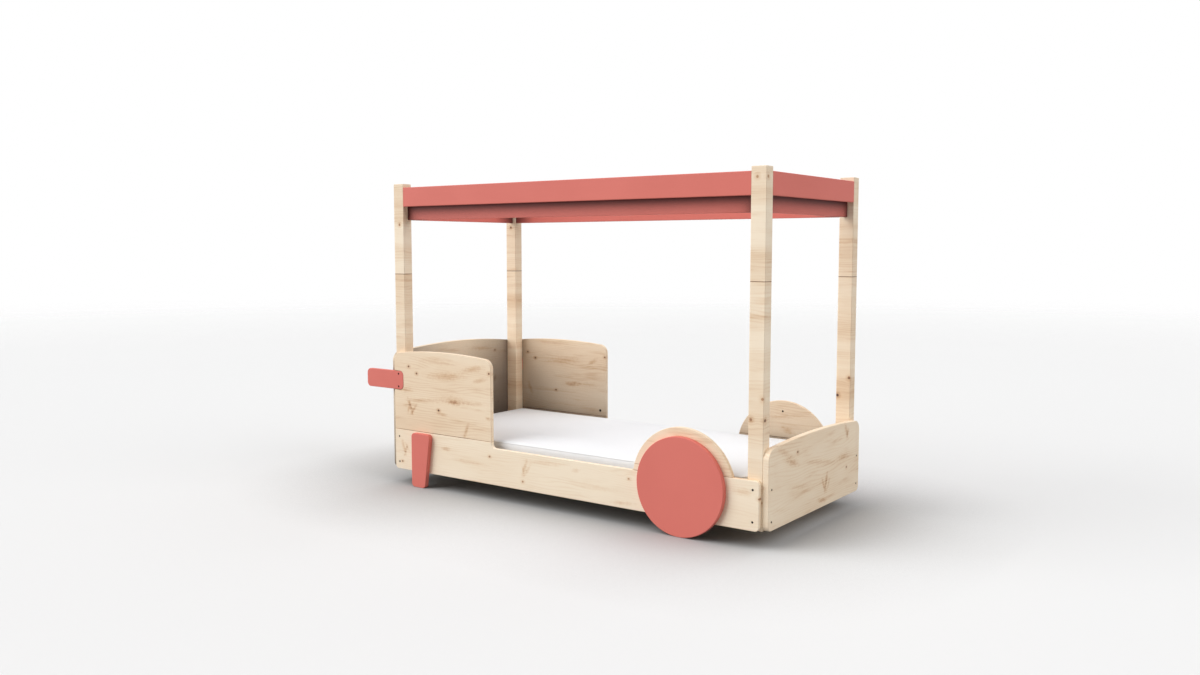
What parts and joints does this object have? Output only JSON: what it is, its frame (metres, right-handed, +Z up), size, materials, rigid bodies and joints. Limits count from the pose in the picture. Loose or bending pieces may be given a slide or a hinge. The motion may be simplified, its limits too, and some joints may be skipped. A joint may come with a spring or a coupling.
{
  "type": "child's bed",
  "caption": "Child's bed shaped like a hand cart: disc wheels, prop legs and handles on a wooden frame with an open canopy on corner posts, and a mattress that lifts out.",
  "frame": {"origin": "on the floor, under the middle of the bed's bounding box", "axes": "+X along the bed from the head (handles) to the foot (wheels), +Y to the bed's left side, +Z up"},
  "size_m": [2.39, 1.03, 1.567],
  "materials": {
    "pale_wood": "clear matt lacquer on pale pine",
    "coral_paint": "satin coral paint on wood",
    "black_steel": "black coated screw heads",
    "zinc_steel": "zinc plated",
    "dowel_wood": "raw beech",
    "mattress_cover": "white woven cover"
  },
  "bodies": {
    "frame": {"post_head_right_lower": "pale_wood", "post_head_right_upper": "pale_wood", "post_head_left_lower": "pale_wood", "post_head_left_upper": "pale_wood", "post_foot_right_lower": "pale_wood", "post_foot_right_upper": "pale_wood", "post_foot_left_lower": "pale_wood", "post_foot_left_upper": "pale_wood", "side_rail_right": "pale_wood", "side_rail_left": "pale_wood", "side_panel_right": "pale_wood", "side_panel_left": "pale_wood", "fender_right": "pale_wood", "fender_left": "pale_wood", "head_board": "pale_wood", "foot_board": "pale_wood", "ledger_right": "pale_wood", "ledger_left": "pale_wood", "slat_01": "pale_wood", "slat_02": "pale_wood", "slat_03": "pale_wood", "slat_04": "pale_wood", "slat_05": "pale_wood", "slat_06": "pale_wood", "slat_07": "pale_wood", "slat_08": "pale_wood", "slat_09": "pale_wood", "slat_10": "pale_wood", "slat_11": "pale_wood", "slat_12": "pale_wood", "slat_13": "pale_wood", "slat_14": "pale_wood", "wheel_right": "coral_paint", "wheel_left": "coral_paint", "leg_right": "coral_paint", "leg_left": "coral_paint", "handle_right": "coral_paint", "handle_left": "coral_paint", "fascia_right": "coral_paint", "fascia_left": "coral_paint", "fascia_head": "coral_paint", "fascia_foot": "coral_paint", "roof_rail_right": "coral_paint", "roof_rail_left": "coral_paint", "roof_rail_head": "coral_paint", "roof_rail_foot": "coral_paint", "rail_screws": "black_steel", "end_board_screws": "black_steel", "handle_screws": "black_steel", "wheel_screws": "black_steel", "leg_screws": "black_steel", "panel_cams": "black_steel", "cam_pins": "zinc_steel", "ledger_screws": "zinc_steel", "slat_screws": "zinc_steel", "board_dowels": "dowel_wood", "splice_dowels": "dowel_wood", "canopy_dowels": "dowel_wood"},
    "mattress": {"mattress": "mattress_cover"}
  },
  "joints": [
    {"name": "mattress_lift", "type": "slide", "parent": "frame", "child": "mattress", "axis": [0, 0, 1], "range_m": [0, 0.55]}
  ]
}
